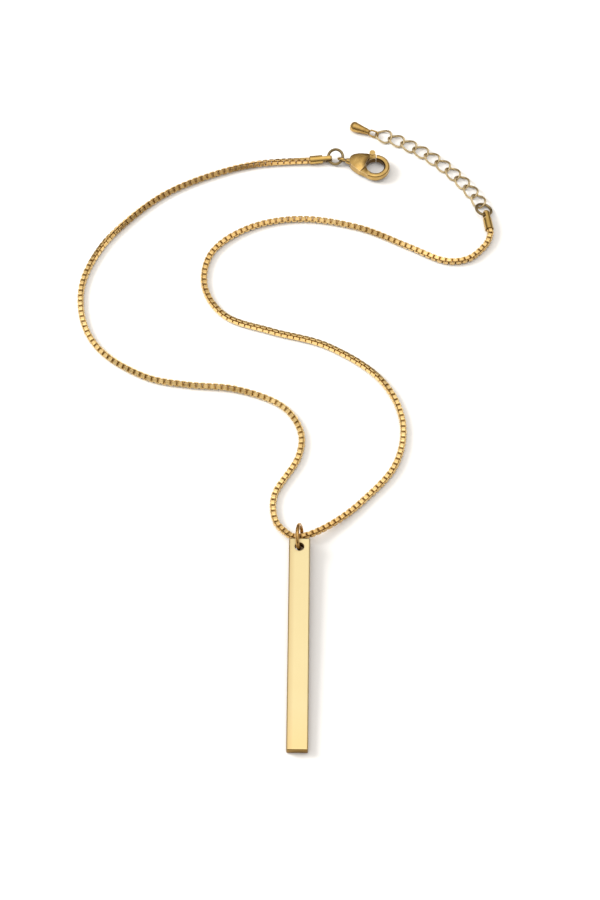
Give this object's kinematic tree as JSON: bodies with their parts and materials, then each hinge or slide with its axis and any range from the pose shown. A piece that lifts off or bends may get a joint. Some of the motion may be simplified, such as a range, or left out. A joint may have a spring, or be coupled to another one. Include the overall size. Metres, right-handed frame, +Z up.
{
  "type": "bar pendant",
  "caption": "Long flat bar pendant on a box chain, laid out open in curves, with end caps, a lobster clasp and a curb-link extender that ends in a small drop.",
  "frame": {"origin": "on the surface the necklace lies on, under the middle of its bounding box", "axes": "+Z up, +Y from the bar's free end towards the clasp and extender, +X to the right seen from the bar's end"},
  "size_m": [0.116, 0.1999, 0.0074],
  "materials": {
    "bar_gold": "finely brushed gold-coloured plate",
    "ring_gold": "aged gold-coloured wire",
    "chain_gold": "antique gold-coloured plate",
    "clasp_gold": "polished cast gold-coloured plate"
  },
  "bodies": {
    "necklace": {"bar": "bar_gold", "bail_ring": "ring_gold", "chain": "chain_gold", "cap_left": "clasp_gold", "cap_right": "clasp_gold", "clasp_ring": "ring_gold", "clasp_body": "clasp_gold", "extender_ring": "ring_gold", "extender_link_1": "ring_gold", "extender_link_2": "ring_gold", "extender_link_3": "ring_gold", "extender_link_4": "ring_gold", "extender_link_5": "ring_gold", "extender_link_6": "ring_gold", "extender_link_7": "ring_gold", "extender_link_8": "ring_gold", "extender_link_9": "ring_gold", "end_link": "ring_gold", "end_drop": "chain_gold"},
    "lever": {"clasp_lever": "clasp_gold"}
  },
  "joints": [
    {"name": "lever_hinge", "type": "hinge", "parent": "necklace", "child": "lever", "pos_m": [0.02053, 0.08434, 0.0017], "axis": [0, 0, 1], "range_deg": [0, 18], "stiffness_Nm_per_rad": 0.01, "springref_deg": -17.19}
  ]
}
